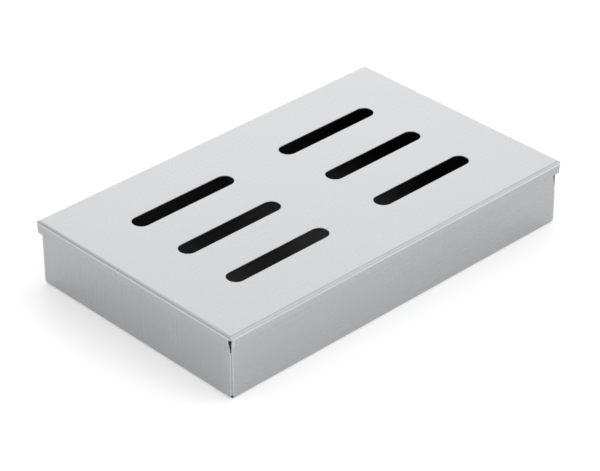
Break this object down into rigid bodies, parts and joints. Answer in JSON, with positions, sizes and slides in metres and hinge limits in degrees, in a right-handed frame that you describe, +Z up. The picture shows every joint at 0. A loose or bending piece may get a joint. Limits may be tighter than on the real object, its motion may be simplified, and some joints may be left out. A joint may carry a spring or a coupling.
{
  "type": "grill smoker box",
  "caption": "Low rectangular stainless smoker box: a folded tray for wood chips under a loose lift-off lid with rows of round-ended slots.",
  "frame": {"origin": "centre of the tray's flat underside, where the closed box stands", "axes": "+X along the length and the slots, +Y across the width, +Z up, the way the lid lifts off"},
  "size_m": [0.21, 0.131, 0.0335],
  "materials": {
    "stainless_steel": "satin stainless sheet, finely brushed"
  },
  "bodies": {
    "tray": {"tray": "stainless_steel"},
    "lid": {"lid": "stainless_steel"}
  },
  "joints": [
    {"name": "lid_lift", "type": "slide", "parent": "tray", "child": "lid", "axis": [0, 0, 1], "range_m": [0, 0.08]}
  ]
}
